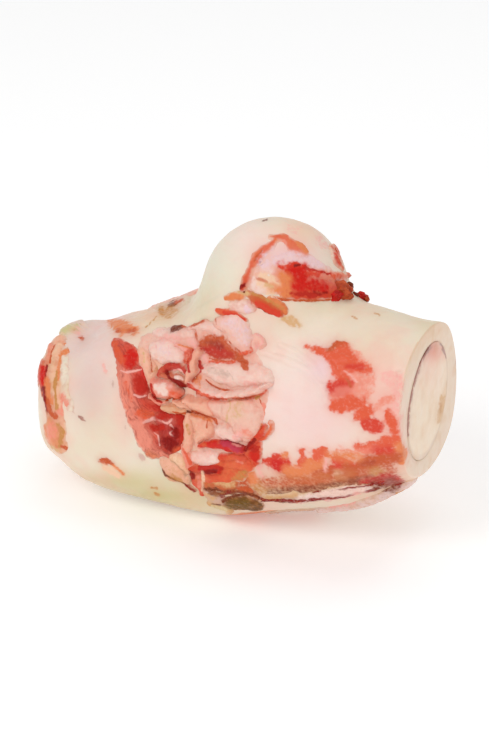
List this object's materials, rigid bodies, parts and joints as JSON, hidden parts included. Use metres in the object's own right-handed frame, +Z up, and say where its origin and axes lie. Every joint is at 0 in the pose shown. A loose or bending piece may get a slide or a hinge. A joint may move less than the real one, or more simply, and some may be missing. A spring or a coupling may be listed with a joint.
{
  "type": "raw beef knuckle bone",
  "caption": "Sawn ball end of a raw beef thigh bone, with marrow at the saw cut and remnants of meat, fat and sinew on its surface.",
  "frame": {"origin": "middle of the bounding box at the underside", "axes": "+X along the shaft towards the saw cut, +Z up, the side with most meat and fat faces -Y"},
  "size_m": [0.1582, 0.081, 0.1152],
  "materials": {
    "bone": "raw bone under its skin and gliding gristle, cream to pinkish white, moist",
    "marrow": "firm cream marrow fat, satin",
    "meat": "raw red muscle, wet and glossy",
    "fat": "soft cream-pink fat, moist",
    "fascia": "thin pinkish skin of the muscle, moist",
    "sinew": "tan and orange sinew, moist"
  },
  "bodies": {
    "root": {"bone": "bone", "marrow": "marrow", "trochanter_muscle": "meat", "neck_fat": "fat", "neck_knob": "meat", "neck_meat": "meat", "under_fat": "fat", "shaft_fascia": "fascia", "ball_meat": "meat", "neck_sinew": "sinew", "end_fold": "sinew", "back_meat": "meat", "back_fat": "fat"}
  },
  "joints": []
}
